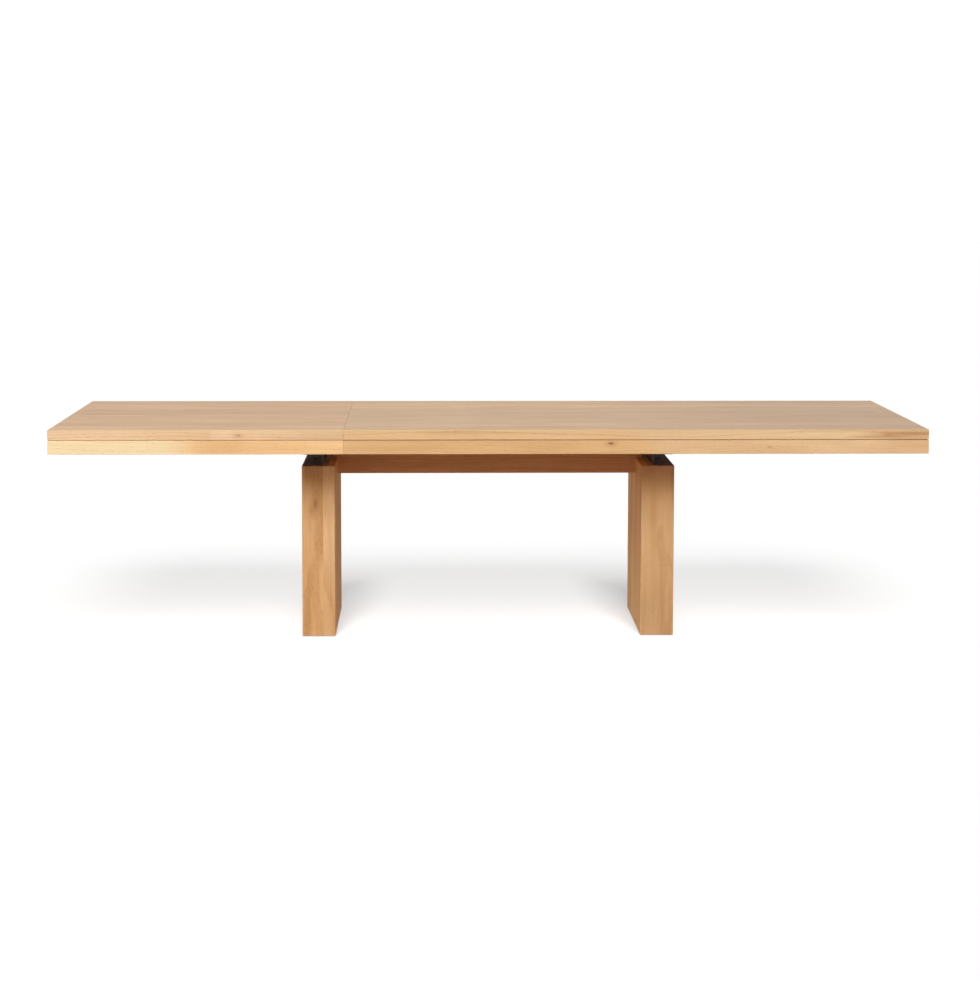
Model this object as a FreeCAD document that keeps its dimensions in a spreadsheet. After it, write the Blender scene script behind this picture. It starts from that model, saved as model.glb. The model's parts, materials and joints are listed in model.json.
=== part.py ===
"""Extending dining table: a sliding two metre top, one end leaf on pull-out bearers, and two slab legs.

Millimetres, +Z up, origin on the floor under the middle of the base. The table stands extended:
the main top reaches to +X and the leaf to -X, and both share one height.
"""
import FreeCAD, Part
import os
import re
import Sketcher

# Driving dimensions, one cell of the sheet each
SIZES = {
    # Whole table
    "table_height": 760,
    "table_depth": 1000,
    "main_length": 2000,
    "leaf_length": 1000,
    "seam_gap": 0.5,
    # Panels and the apron frame below them
    "panel_thick": 33,
    "panel_round": 1.2,
    "shadow_gap": 3,
    "shadow_deep": 6,
    "apron_height": 47,
    "apron_thick": 24,
    "apron_round": 1.2,
    "block_side": 58,
    "block_height": 40,
    # Slab legs, each a mitred box of four boards with two plugs
    "leg_span": 1310,
    "leg_width": 116,
    "leg_depth": 526,
    "leg_board": 24,
    "leg_chamfer": 2.5,
    "plug_thick": 28,
    "glide_height": 3,
    "glide_radius": 16,
    "glide_pin_radius": 3,
    "glide_pin_length": 16,
    "glide_inset": 34,
    # Stretcher beam between the legs
    "beam_height": 92,
    "beam_thick": 44,
    "beam_round": 2,
    "beam_bolt_radius": 4,
    "beam_bolt_reach": 62,
    "beam_bolt_head_radius": 6.5,
    "beam_bolt_head": 8,
    "beam_bolt_offset": 11,
    "barrel_radius": 6,
    "barrel_height": 18,
    "barrel_inset": 14,
    "beam_lap": 24,
    "beam_clear": 5,
    # Steel channels on the leg tops
    "channel_height": 41,
    "channel_end": 13,
    "channel_foot": 23,
    "channel_screw_inset": 45,
    "channel_inset": 4,
    "channel_gap": 19,
    "steel_thick": 4,
    "steel_bend": 7,
    "pad_thick": 4,
    "pad_inset": 6,
    "pad_lead": 2,
    "keeper_thick": 8,
    "keeper_width": 44,
    "keeper_foot": 30,
    "keeper_bolt_spread": 12,
    "keeper_play": 2,
    # Runners under the main top, with the bearers between runner and guide
    "runner_inset": 113,
    "runner_thick": 35,
    "runner_drop": 27,
    "keeper_groove_rise": 6,
    "keeper_groove_height": 12,
    "keeper_groove_deep": 8,
    "side_play": 2,
    "rest_gap": 0.3,
    "bearer_thick": 38,
    "bearer_lift": 5,
    "bearer_margin": 56,
    "bearer_hold": 560,
    "bearer_nose": 12,
    "groove_rise": 13,
    "groove_height": 12,
    "groove_deep": 8,
    "tongue_tip_play": 1,
    "tongue_play": 0.5,
    "notch_play": 3,
    "guide_thick": 25,
    "guide_skirt": 7,
    "guide_length": 980,
    "stop_length": 24,
    "slide_stop_length": 20,
    "stop_play": 2,
    "stop_pin_radius": 6,
    "stop_pin_clear": 4,
    "stop_pin_seat": 20,
    "stop_pin_inset": 25,
    # Battens under the leaf
    "leaf_batten_width": 80,
    "leaf_batten_inset": 120,
    "leaf_batten_thick": 12.7,
    # Turning hooks that draw the leaf to the main top
    "hook_inset": 170,
    "hook_thick": 5,
    "hook_width": 20,
    "hook_overhang": 12,
    "hook_tail": 10,
    "hook_round": 6,
    "hook_gap": 2,
    "hook_play": 0.3,
    "pivot_radius": 4,
    "pivot_play": 0.1,
    "pivot_head_radius": 8,
    "pivot_head": 3,
    "pivot_seat": 22,
    "keeper_pin_radius": 2.5,
    "keeper_pin_drop": 3,
    "keeper_pin_play": 0.7,
    # Wood screws and machine screws
    "screw_radius": 2.5,
    "screw_head_radius": 5,
    "screw_head": 3,
    "screw_bite": 20,
    "counterbore_radius": 6.5,
    "counterbore_deep": 44,
}

# Places worked out from the driving dimensions
PLACES = {
    "half_length": "(main_length + leaf_length)/2",
    "half_depth": "table_depth/2",
    "seam_x": "leaf_length - half_length",
    "leaf_edge": "seam_x - seam_gap",
    "panel_low": "table_height - panel_thick",
    "lip_top": "panel_low - shadow_gap",
    "apron_low": "lip_top - apron_height",
    "apron_in": "half_depth - apron_thick",
    "leg_out": "leg_span/2",
    "leg_in": "leg_out - leg_width",
    "leg_back": "leg_depth/2",
    "cavity_out": "leg_out - leg_board",
    "cavity_in": "leg_in + leg_board",
    "cavity_back": "leg_back - leg_board",
    "lap_out": "leg_in + beam_lap",
    "channel_in": "lap_out + channel_gap",
    "channel_out": "leg_out - channel_inset",
    "channel_mid": "(channel_in + channel_out)/2",
    "runner_low": "apron_low - runner_drop",
    "runner_near": "leg_back - runner_inset",
    "runner_far": "runner_near + runner_thick",
    "channel_top": "runner_low - pad_thick",
    "channel_length": "leg_depth - 2*channel_end",
    "leg_top": "channel_top - channel_height",
    "plug_low": "leg_top - plug_thick",
    "beam_top": "channel_top - beam_clear",
    "beam_low": "beam_top - beam_height",
    "beam_bolt_z": "(beam_low + plug_low)/2",
    "keeper_groove_low": "runner_low + keeper_groove_rise",
    "keeper_groove_top": "keeper_groove_low + keeper_groove_height",
    "keeper_far": "runner_near - keeper_play",
    "keeper_face": "keeper_far - keeper_thick",
    "keeper_heel": "keeper_face - keeper_foot",
    "lip_end": "runner_near + keeper_groove_deep - keeper_play",
    "keeper_lip_low": "keeper_groove_low + keeper_play",
    "keeper_lip_top": "keeper_groove_top - keeper_play",
    "bearer_in": "runner_far + side_play",
    "bearer_out": "bearer_in + bearer_thick",
    "bearer_mid": "(bearer_in + bearer_out)/2",
    "bearer_low": "runner_low + bearer_lift",
    "bearer_top": "panel_low - leaf_batten_thick - rest_gap",
    "bearer_tip": "apron_thick + bearer_margin - half_length",
    "bearer_end": "seam_x + bearer_hold",
    "groove_low": "apron_low + groove_rise",
    "groove_top": "groove_low + groove_height",
    "tongue_low": "groove_low + tongue_play",
    "tongue_top": "groove_top - tongue_play",
    "guide_in": "bearer_out + side_play",
    "guide_out": "guide_in + guide_thick",
    "guide_low": "groove_low - guide_skirt",
    "tongue_reach": "groove_deep - tongue_tip_play",
    "inside_x": "seam_x + apron_thick",
    "inside_length": "main_length - 2*apron_thick",
    "stop_pin_x": "bearer_end - stop_pin_inset",
    "leaf_batten_low": "panel_low - leaf_batten_thick",
    "stop_pin_top": "panel_low - stop_pin_clear",
    "keeper_reach": "keeper_width/2 + stop_play",
    "hook_place": "half_depth - hook_inset",
    "hook_top": "apron_low - hook_gap",
    "hook_low": "hook_top - hook_thick",
    "pivot_x": "seam_x + apron_thick/2",
    "keeper_pin_x": "leaf_edge - apron_thick/2",
    "keeper_pin_low": "hook_low - keeper_pin_drop",
    "hook_arm": "pivot_x - keeper_pin_x",
    "hook_tip": "keeper_pin_x - hook_overhang",
    "hook_heel": "pivot_x + hook_tail",
    "hook_inner": "hook_place - hook_width/2",
    "hook_outer": "hook_place + hook_width/2",
    "notch_room": "keeper_pin_radius + keeper_pin_play",
    "notch_sweep": "hook_width*hook_width/(7*hook_arm)",
}

ROLES = {"XY": "XY_Plane", "XZ": "XZ_Plane", "YZ": "YZ_Plane"}
SIDES = {"left": -1, "right": 1}
ENDS = {"front": -1, "back": 1}

doc = FreeCAD.newDocument("extending_table")
sheet = doc.addObject("Spreadsheet::Sheet", "size")
nodes = {}


def fill_sheet():
    """Write every driving dimension into a cell of its own, under its own name."""
    for row, (name, value) in enumerate(SIZES.items(), start=1):
        sheet.set(f"A{row}", name)
        sheet.set(f"B{row}", str(value))
        sheet.setAlias(f"B{row}", name)
    doc.recompute()


def expand(text):
    """Turn the words of a formula into cells of the sheet, through the worked-out places."""
    def swap(match):
        word = match.group(0)
        return f"({expand(PLACES[word])})" if word in PLACES else f"size.{word}"
    return re.sub(r"[a-z]+(?:_[a-z]+)+", swap, str(text))


def bind(item, **formulas):
    for name, formula in formulas.items():
        item.setExpression(name, expand(formula))


def place(item, spot):
    for axis, formula in zip("xyz", spot):
        item.setExpression(f"Placement.Base.{axis}", expand(formula))


def keep(label, item):
    """Give the finished piece its name and put it on the list of pieces to write."""
    item.Label = label
    nodes[label] = item
    return item


def outline(body, plane, loops, start="0"):
    """A sketch of straight-sided loops whose every corner is tied to the sheet."""
    sketch = body.newObject("Sketcher::SketchObject", f"{body.Name}_outline")
    support = next(item for item in body.Origin.OriginFeatures if item.Role == ROLES[plane])
    sketch.AttachmentSupport = [(support, "")]
    sketch.MapMode = "FlatFace"
    bind(sketch, **{"AttachmentOffset.Base.z": start})
    for corners in loops:
        first = sketch.GeometryCount
        count = len(corners)
        ring = starting_ring(count)
        for number in range(count):
            sketch.addGeometry(Part.LineSegment(ring[number], ring[(number + 1) % count]), False)
        for number in range(count):
            after = first + (number + 1) % count
            sketch.addConstraint(Sketcher.Constraint("Coincident", first + number, 2, after, 1))
        for number, corner in enumerate(corners):
            for kind, value, formula in zip(("DistanceX", "DistanceY"), ring[number], corner):
                rule = Sketcher.Constraint(kind, -1, 1, first + number, 1, value)
                index = sketch.addConstraint(rule)
                sketch.setExpression(f"Constraints[{index}]", expand(formula))
    return sketch


def starting_ring(count):
    """Corners of a closed ring that the constraints then pull to their places."""
    turn = FreeCAD.Rotation(FreeCAD.Vector(0, 0, 1), 360 / count)
    spot = FreeCAD.Vector(100, 0, 0)
    ring = []
    for _ in range(count):
        ring.append(spot)
        spot = turn.multVec(spot)
    return ring


def prism(name, plane, loops, length, start="0", both_ways=False):
    """A body padded from an outline, from start along the plane's normal or evenly both ways."""
    body = doc.addObject("PartDesign::Body", name)
    pad = body.newObject("PartDesign::Pad", f"{name}_pad")
    pad.Profile = outline(body, plane, loops, start)
    bind(pad, Length=length)
    pad.Midplane = both_ways
    doc.recompute()
    return body


def pocket(body, plane, loops):
    """Cut outlines right through the body, on both sides of the plane."""
    doc.recompute()
    before = body.Shape.Volume
    cut = body.newObject("PartDesign::Pocket", f"{body.Name}_pocket")
    cut.Profile = outline(body, plane, loops)
    cut.Type = "ThroughAll"
    cut.Midplane = True
    doc.recompute()
    if body.Shape.Volume >= before:
        raise RuntimeError(f"{body.Name}: the pocket cuts nothing")


def soften(body, radius, wanted):
    """Round the edges that the test picks, by the radius named in the sheet."""
    doc.recompute()
    last = body.Tip
    picked = [f"Edge{number}" for number, edge in enumerate(body.Shape.Edges, start=1) if wanted(edge)]
    fillet = body.newObject("PartDesign::Fillet", f"{body.Name}_soft")
    fillet.Base = (last, picked)
    bind(fillet, Radius=radius)
    doc.recompute()


def box(name, size, spot):
    item = doc.addObject("Part::Box", name)
    bind(item, Length=size[0], Width=size[1], Height=size[2])
    place(item, spot)
    return item


def rod(name, radius, length, spot, along_x=False, tip=None):
    """A round bar from spot along +Z or +X; a tip radius makes it a cone."""
    item = doc.addObject("Part::Cylinder" if tip is None else "Part::Cone", name)
    if tip is None:
        bind(item, Radius=radius, Height=length)
    else:
        bind(item, Radius1=radius, Radius2=tip, Height=length)
    if along_x:
        item.Placement.Rotation = FreeCAD.Rotation(FreeCAD.Vector(0, 1, 0), 90)
    place(item, spot)
    return item


def joined(name, pieces):
    item = doc.addObject("Part::MultiFuse", name)
    item.Shapes = pieces
    return item


def group(label, solids):
    """Identical pieces that share one node, each still a solid of its own."""
    item = doc.addObject("Part::Compound", label)
    item.Links = solids
    return keep(label, item)


def cut_from(label, blank, tools):
    """The blank with the seats of its fasteners and its notches taken out."""
    item = doc.addObject("Part::Cut", label)
    item.Base = blank
    if len(tools) == 1:
        item.Tool = tools[0]
    else:
        item.Tool = doc.addObject("Part::Compound", f"{label}_tools")
        item.Tool.Links = tools
    return keep(label, item)


def rectangle(low_u, high_u, low_v, high_v):
    return [(low_u, low_v), (high_u, low_v), (high_u, high_v), (low_u, high_v)]


def mirrored(points, sign):
    """The same outline on the front or the back, or on the left or the right."""
    return [(f"{sign}*({u})", v) for u, v in points]


# Panels

def panel(label, low_x, length):
    """A solid panel whose arrises are eased all round its upper face and at its corners."""
    corners = rectangle(low_x, f"{low_x} + {length}", "-half_depth", "half_depth")
    body = prism(label, "XY", [corners], "panel_thick", "panel_low")
    top = body.Shape.BoundBox.ZMax

    def eased(edge):
        return edge.BoundBox.ZMax > top - 0.01
    soften(body, "panel_round", eased)
    return body


# Apron frame

def lipped(sign, outer):
    """Apron section: a board with a rebate along its upper outer edge, which makes the shadow gap."""
    inner = f"{outer} - apron_thick"
    lip = f"{outer} - shadow_deep"
    return mirrored([
        (outer, "apron_low"),
        (inner, "apron_low"),
        (inner, "panel_low"),
        (lip, "panel_low"),
        (lip, "lip_top"),
        (outer, "lip_top"),
    ], sign)


def long_apron(label, sign, low_x, length, end_x, end_sign):
    """Front or back apron, mitred at the free end and square at the seam."""
    body = prism(label, "YZ", [lipped(sign, "half_depth")], length, low_x)
    inward = f"{end_x} - {end_sign}*apron_thick"
    corner = [(end_x, f"{sign}*half_depth"), (end_x, f"{sign}*apron_in"), (inward, f"{sign}*apron_in")]
    pocket(body, "XY", [corner])
    bounds = body.Shape.BoundBox
    face = bounds.YMax if sign > 0 else bounds.YMin

    def eased(edge):
        spot = edge.BoundBox
        return spot.XLength > 1 and abs(spot.YMin - face) < 0.01 and spot.YLength < 0.01
    soften(body, "apron_round", eased)
    return keep(label, body)


def end_apron(label, end_sign):
    """Apron across a free end, mitred into the long aprons."""
    body = prism(label, "XZ", [lipped(end_sign, "half_length")], "table_depth", both_ways=True)
    outer = f"{end_sign}*half_length"
    inner = f"{end_sign}*(half_length - apron_thick)"
    corners = [[(outer, f"{sign}*half_depth"), (inner, f"{sign}*half_depth"), (inner, f"{sign}*apron_in")]
               for sign in ENDS.values()]
    pocket(body, "XY", corners)
    bounds = body.Shape.BoundBox
    face = bounds.XMax if end_sign > 0 else bounds.XMin

    def eased(edge):
        spot = edge.BoundBox
        return spot.YLength > 1 and abs(spot.XMin - face) < 0.01 and spot.XLength < 0.01
    soften(body, "apron_round", eased)
    return keep(label, body)


def seam_apron(name, low_x):
    """Apron across the seam, between the long aprons, with a mouth for each bearer."""
    edges = rectangle(low_x, f"{low_x} + apron_thick", "apron_low", "panel_low")
    body = prism(name, "XZ", [edges], "2*apron_in", both_ways=True)
    mouths = [mirrored(rectangle("bearer_in - notch_play", "bearer_out + notch_play",
                                 "apron_low - notch_play", "bearer_top + notch_play"), sign)
              for sign in ENDS.values()]
    pocket(body, "YZ", mouths)
    return body


def corner_blocks(label, corner_list):
    """Three-sided glue blocks in the corners of an apron frame."""
    loops = []
    for corner_x, into_x, sign in corner_list:
        corner_y = f"{sign}*apron_in"
        loops.append([
            (corner_x, corner_y),
            (f"{corner_x} + {into_x}*block_side", corner_y),
            (corner_x, f"{corner_y} - {sign}*block_side"),
        ])
    return keep(label, prism(label, "XY", loops, "block_height", "panel_low - block_height"))


# Legs

def leg_boards(side, sign):
    """Four boards mitred into a box; each has half of the chamfer that eases the corner."""
    def ring(near, far, back):
        return {"inner": f"{sign}*({near})", "outer": f"{sign}*({far})", "back": f"({back})"}

    face = ring("leg_in", "leg_out", "leg_back")
    eased = ring("leg_in + leg_chamfer", "leg_out - leg_chamfer", "leg_back - leg_chamfer")
    tip = ring("leg_in + leg_chamfer/2", "leg_out - leg_chamfer/2", "leg_back - leg_chamfer/2")
    hollow = ring("cavity_in", "cavity_out", "cavity_back")
    boards = {}
    for end, turn in ENDS.items():
        boards[f"{side}_leg_{end}_board"] = [
            (eased["inner"], f"{turn}*{face['back']}"),
            (eased["outer"], f"{turn}*{face['back']}"),
            (tip["outer"], f"{turn}*{tip['back']}"),
            (hollow["outer"], f"{turn}*{hollow['back']}"),
            (hollow["inner"], f"{turn}*{hollow['back']}"),
            (tip["inner"], f"{turn}*{tip['back']}"),
        ]
    for where in ("inner", "outer"):
        boards[f"{side}_leg_{where}_board"] = [
            (face[where], f"-1*{eased['back']}"),
            (face[where], eased["back"]),
            (tip[where], tip["back"]),
            (hollow[where], hollow["back"]),
            (hollow[where], f"-1*{hollow['back']}"),
            (tip[where], f"-1*{tip['back']}"),
        ]
    return {label: prism(label, "XY", [corners], "leg_top - glide_height", "glide_height")
            for label, corners in boards.items()}


def low_x(sign, near, far):
    """The lower of two X places that lie on the left or the right of the middle."""
    return near if sign > 0 else f"-({far})"


def leg_plug(name, sign, low_z):
    """Block that closes the box of boards at its top or its foot."""
    size = ("cavity_out - cavity_in", "2*cavity_back", "plug_thick")
    return box(name, size, (low_x(sign, "cavity_in", "cavity_out"), "-cavity_back", low_z))


def floor_glides():
    """Nylon glides nailed into the foot plugs, one at each end of both legs."""
    glides = []
    for sign in SIDES.values():
        for turn in ENDS.values():
            spot = (f"{sign}*(leg_in + leg_out)/2", f"{turn}*(leg_back - glide_inset)")
            name = f"glide_{len(glides)}"
            disc = rod(f"{name}_disc", "glide_radius", "glide_height", (*spot, "0"))
            pin = rod(f"{name}_pin", "glide_pin_radius", "glide_height + glide_pin_length", (*spot, "0"))
            glides.append(joined(name, [disc, pin]))
    return group("floor_glides", glides)


# Beam, with bolts into barrel nuts

def beam_fasteners():
    """Bolts from inside the legs into barrel nuts, and the bores that take the nuts."""
    bolts, nuts, bores = [], [], []
    height = "beam_bolt_z"
    for side, sign in SIDES.items():
        for end, turn in ENDS.items():
            name = f"{side}_{end}_beam"
            y = f"{turn}*beam_bolt_offset"
            shank_x = low_x(sign, "leg_in - beam_bolt_reach", "cavity_in")
            head_x = low_x(sign, "cavity_in", "cavity_in + beam_bolt_head")
            shank = rod(f"{name}_shank", "beam_bolt_radius", "beam_bolt_reach + leg_board",
                        (shank_x, y, height), along_x=True)
            head = rod(f"{name}_head", "beam_bolt_head_radius", "beam_bolt_head",
                       (head_x, y, height), along_x=True)
            bolts.append(joined(f"{name}_bolt", [shank, head]))
            nut_x = f"{sign}*(leg_in - beam_bolt_reach + barrel_inset)"
            nut_low = f"{height} - barrel_height/2"
            nut = rod(f"{name}_nut", "barrel_radius", "barrel_height", (nut_x, y, nut_low))
            bore = rod(f"{name}_bore", "barrel_radius", f"{nut_low} + barrel_height - beam_low", (nut_x, y, "beam_low"))
            threaded = doc.addObject("Part::Cut", f"{name}_threaded_nut")
            threaded.Base = nut
            threaded.Tool = bolts[-1]
            nuts.append(threaded)
            bores.append(bore)
    return group("beam_bolts", bolts), group("beam_barrel_nuts", nuts), bores


def beam_blank():
    """Beam between the legs, with an upper lap at each end that rests on the leg top."""
    corners = [
        ("-leg_in", "beam_low"),
        ("leg_in", "beam_low"),
        ("leg_in", "leg_top"),
        ("lap_out", "leg_top"),
        ("lap_out", "beam_top"),
        ("-lap_out", "beam_top"),
        ("-lap_out", "leg_top"),
        ("-leg_in", "leg_top"),
    ]
    body = prism("beam_blank", "XZ", [corners], "beam_thick", both_ways=True)
    low = body.Shape.BoundBox.ZMin

    def eased(edge):
        spot = edge.BoundBox
        return spot.XLength > 1 and spot.ZMax < low + 0.01
    soften(body, "beam_round", eased)
    return body


# Screws

def screws(label, spots, head_low, head_size, shank_low, shank_length):
    """Upright screws; head_size gives the radius at the head's low and high side."""
    solids = []
    for x, y in spots:
        name = f"{label}_{len(solids)}"
        head = rod(f"{name}_head", head_size[0], "screw_head", (x, y, head_low), tip=head_size[1])
        shank = rod(f"{name}_shank", "screw_radius", shank_length, (x, y, shank_low))
        solids.append(joined(name, [head, shank]))
    return group(label, solids)


COUNTERSUNK_UP = ("screw_head_radius", "screw_radius")
COUNTERSUNK_DOWN = ("screw_radius", "screw_head_radius")
PAN_HEAD = ("screw_head_radius", "0.7*screw_head_radius")


def along_main(count, length):
    """Evenly spaced places along a rail that starts inside the seam apron."""
    return [f"inside_x + {length}*{2*number + 1}/{2*count}" for number in range(count)]


# Steel channels on the legs, with glide pads and keepers

def channel(name, sign):
    """Folded steel channel on a leg top, open to the outside; its foot plate is longer than its box."""
    corners = [
        ("channel_out", "leg_top"),
        ("channel_in", "leg_top"),
        ("channel_in", "channel_top"),
        ("channel_out", "channel_top"),
        ("channel_out", "channel_top - steel_thick"),
        ("channel_in + steel_thick", "channel_top - steel_thick"),
        ("channel_in + steel_thick", "leg_top + steel_thick"),
        ("channel_out", "leg_top + steel_thick"),
    ]
    body = prism(name, "XZ", [mirrored(corners, sign)], "channel_length", both_ways=True)
    web_x = body.Shape.BoundBox.XMin if sign > 0 else body.Shape.BoundBox.XMax

    def bend(depth):
        def test(edge):
            bounds = edge.BoundBox
            return bounds.YLength > 1 and bounds.XLength < 0.01 and abs(abs(bounds.XMin - web_x) - depth) < 0.01
        return test
    soften(body, "steel_bend", bend(0))
    soften(body, "steel_bend - steel_thick", bend(sheet.steel_thick))
    ends = [mirrored(rectangle("channel_length/2 - channel_foot", "leg_back",
                               "leg_top + steel_thick", "runner_low"), turn) for turn in ENDS.values()]
    pocket(body, "YZ", ends)
    return body


def glide_pads(label, sign):
    """Nylon pads on a channel: low ones under the runners, high ones under the bearers."""
    pads = []
    for near, far, top in (("runner_near", "runner_far", "runner_low"), ("bearer_in", "bearer_out", "bearer_low")):
        level = f"{top} - rest_gap"
        corners = [
            ("channel_in + pad_inset", "channel_top"),
            ("channel_out - pad_inset", "channel_top"),
            ("channel_out - pad_inset", f"{level} - pad_lead"),
            ("channel_out - pad_inset - pad_lead", level),
            ("channel_in + pad_inset + pad_lead", level),
            ("channel_in + pad_inset", f"{level} - pad_lead"),
        ]
        for turn in ENDS.values():
            start = f"-({far})" if turn > 0 else near
            pads.append(prism(f"{label}_{len(pads)}", "XZ", [mirrored(corners, sign)], f"{far} - {near}", start))
    return group(label, pads)


def keepers(name, sign):
    """Angles whose lips run in the runners' grooves and stop the top from lifting."""
    corners = [
        ("keeper_heel", "channel_top"),
        ("keeper_far", "channel_top"),
        ("keeper_far", "keeper_lip_low"),
        ("lip_end", "keeper_lip_low"),
        ("lip_end", "keeper_lip_top"),
        ("keeper_face", "keeper_lip_top"),
        ("keeper_face", "channel_top + steel_thick"),
        ("keeper_heel", "channel_top + steel_thick"),
    ]
    loops = [mirrored(corners, turn) for turn in ENDS.values()]
    return prism(name, "YZ", loops, "keeper_width", f"{sign}*channel_mid - keeper_width/2")


# Runners, guides and bearers

def runner(name, sign):
    """Rail under the main top: keeper groove on its inner side, tongue on its outer side."""
    corners = [
        ("runner_near", "runner_low"),
        ("runner_far", "runner_low"),
        ("runner_far", "tongue_low"),
        ("runner_far + side_play + tongue_reach", "tongue_low"),
        ("runner_far + side_play + tongue_reach", "tongue_top"),
        ("runner_far", "tongue_top"),
        ("runner_far", "panel_low"),
        ("runner_near", "panel_low"),
        ("runner_near", "keeper_groove_top"),
        ("runner_near + keeper_groove_deep", "keeper_groove_top"),
        ("runner_near + keeper_groove_deep", "keeper_groove_low"),
        ("runner_near", "keeper_groove_low"),
    ]
    return prism(name, "YZ", [mirrored(corners, sign)], "inside_length", "inside_x")


def guide(name, sign):
    """Rail on the outer side of a bearer, with the second tongue."""
    corners = [
        ("guide_in", "guide_low"),
        ("guide_out", "guide_low"),
        ("guide_out", "panel_low"),
        ("guide_in", "panel_low"),
        ("guide_in", "tongue_top"),
        ("guide_in - side_play - tongue_reach", "tongue_top"),
        ("guide_in - side_play - tongue_reach", "tongue_low"),
        ("guide_in", "tongue_low"),
    ]
    return prism(name, "YZ", [mirrored(corners, sign)], "guide_length", "inside_x")


def bearer(name, sign):
    """Pull-out rail that carries the leaf, grooved on both sides, with an eased nose."""
    corners = [
        ("bearer_in", "bearer_low"),
        ("bearer_out", "bearer_low"),
        ("bearer_out", "groove_low"),
        ("bearer_out - groove_deep", "groove_low"),
        ("bearer_out - groove_deep", "groove_top"),
        ("bearer_out", "groove_top"),
        ("bearer_out", "bearer_top"),
        ("bearer_in", "bearer_top"),
        ("bearer_in", "groove_top"),
        ("bearer_in + groove_deep", "groove_top"),
        ("bearer_in + groove_deep", "groove_low"),
        ("bearer_in", "groove_low"),
    ]
    body = prism(name, "YZ", [mirrored(corners, sign)], "bearer_end - bearer_tip", "bearer_tip")
    nose = [
        ("bearer_tip", "bearer_low"),
        ("bearer_tip + bearer_nose", "bearer_low"),
        ("bearer_tip", "bearer_low + bearer_nose"),
    ]
    pocket(body, "XZ", [nose])
    return body


def bearer_stop(name, sign):
    """Block under the panel that the bearer's pin meets when it is right out."""
    near = "bearer_in" if sign > 0 else "-(bearer_out)"
    x = "stop_pin_x - stop_pin_radius - stop_play - stop_length"
    low_z = "bearer_top + stop_play"
    return box(name, ("stop_length", "bearer_thick", f"panel_low - ({low_z})"), (x, near, low_z))


def slide_stops():
    """Blocks in the runners' keeper grooves; between them the top can slide by half the leaf."""
    stops = []
    places = ["channel_mid - keeper_reach - slide_stop_length", "channel_mid + keeper_reach + leaf_length/2"]
    for end, sign in ENDS.items():
        y = "runner_near" if sign > 0 else "-(runner_near + keeper_groove_deep)"
        for x in places:
            size = ("slide_stop_length", "keeper_groove_deep", "keeper_groove_height")
            stops.append(box(f"{end}_slide_stop_{len(stops)}", size, (x, y, "keeper_groove_low")))
    return group("slide_stops", stops)


# Turning hooks

def hook(label, sign):
    """Flat hook that turns on the main top and takes the leaf's pin in its notch."""
    corners = [
        ("hook_heel", "hook_inner"),
        ("hook_heel", "hook_outer"),
        ("hook_tip", "hook_outer"),
        ("hook_tip", "hook_inner"),
        ("keeper_pin_x - notch_room", "hook_inner"),
        ("keeper_pin_x - notch_room", "hook_place + notch_room"),
        ("keeper_pin_x + notch_room + notch_sweep", "hook_place + notch_room"),
        ("keeper_pin_x + notch_room + notch_sweep", "hook_inner"),
    ]
    turned = [(x, f"{sign}*({y})") for x, y in corners]
    body = prism(f"{label}_plate", "XY", [turned], "hook_thick", "hook_low")
    bounds = body.Shape.BoundBox

    def outer_corner(edge):
        spot = edge.BoundBox
        at_end = abs(spot.XMin - bounds.XMin) < 0.01 or abs(spot.XMax - bounds.XMax) < 0.01
        return at_end and spot.ZLength > 1 and spot.YLength < 0.01
    soften(body, "hook_round", outer_corner)
    eye = rod(f"{label}_eye", "pivot_radius + pivot_play", "hook_thick", ("pivot_x", f"{sign}*hook_place", "hook_low"))
    return cut_from(label, body, [eye])


def latch_pivots():
    """Shoulder screws that the hooks turn on: head, shank, spacer collar and thread."""
    pivots = []
    for end, sign in ENDS.items():
        x, y = "pivot_x", f"{sign}*hook_place"
        head_top = "hook_low - hook_play"
        collar_low = "hook_top + hook_play"
        head = rod(f"{end}_pivot_head", "pivot_head_radius", "pivot_head", (x, y, f"{head_top} - pivot_head"))
        shank = rod(f"{end}_pivot_shank", "pivot_radius", "apron_low - hook_low + hook_play", (x, y, head_top))
        collar = rod(f"{end}_pivot_collar", "pivot_head_radius", f"apron_low - ({collar_low})", (x, y, collar_low))
        thread = rod(f"{end}_pivot_thread", "screw_radius", "hook_gap + pivot_seat", (x, y, "hook_top"))
        pivots.append(joined(f"{end}_pivot", [head, shank, collar, thread]))
    return group("latch_pivots", pivots)


def keeper_pins():
    """Plain pins under the leaf's seam apron; they lift straight out of the hooks."""
    length = "apron_low + pivot_seat - keeper_pin_low"
    pins = [rod(f"{end}_keeper_pin", "keeper_pin_radius", length,
                ("keeper_pin_x", f"{sign}*hook_place", "keeper_pin_low")) for end, sign in ENDS.items()]
    return group("latch_keeper_pins", pins)


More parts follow.
